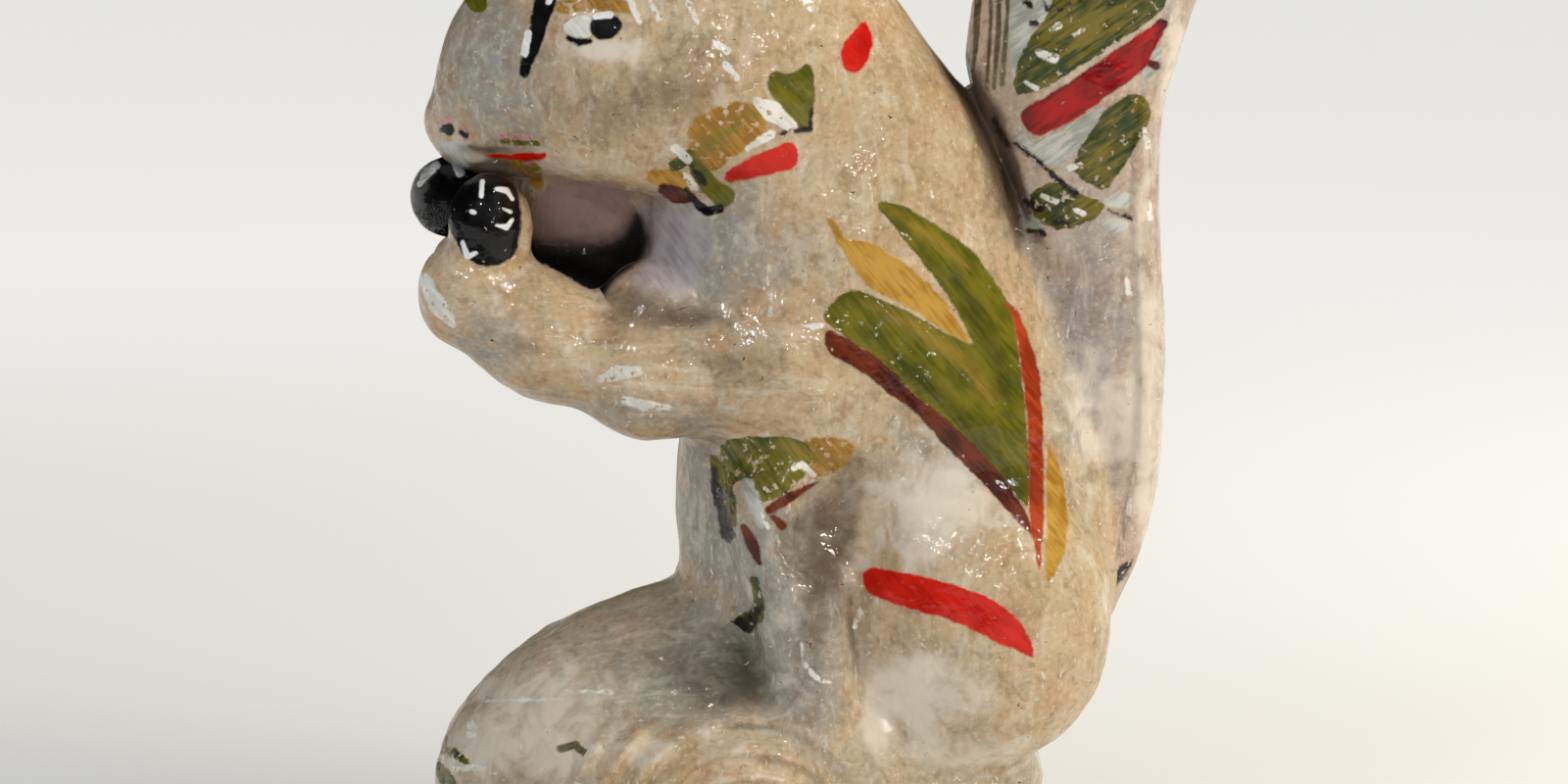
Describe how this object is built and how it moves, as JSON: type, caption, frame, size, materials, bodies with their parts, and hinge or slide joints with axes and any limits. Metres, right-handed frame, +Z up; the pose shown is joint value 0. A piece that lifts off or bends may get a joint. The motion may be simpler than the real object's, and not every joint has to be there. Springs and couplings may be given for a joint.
{
  "type": "squirrel figurine",
  "caption": "Upright painted plaster squirrel on a domed base, holding a nut to its mouth, with a tall plume tail behind; stands free on a flat underside.",
  "frame": {"origin": "middle of the base's flat underside", "axes": "+Z up, the squirrel faces -X, its own left side is towards -Y"},
  "size_m": [0.13, 0.07, 0.166],
  "materials": {
    "body_plaster": "gloss",
    "base_plaster": "gloss",
    "tail_plaster": "gloss",
    "nut_plaster": "gloss",
    "bare_plaster": "matte",
    "wire": "satin"
  },
  "bodies": {
    "root": {"base_mound": "base_plaster", "base_plug": "bare_plaster", "left_body_half": "body_plaster", "right_body_half": "body_plaster", "body_seam": "bare_plaster", "left_arm": "body_plaster", "right_arm": "body_plaster", "arm_pins": "wire", "nut": "nut_plaster", "left_ear": "body_plaster", "right_ear": "body_plaster", "left_tail_half": "tail_plaster", "right_tail_half": "tail_plaster", "tail_seam": "bare_plaster", "tail_pins": "wire"}
  },
  "joints": []
}
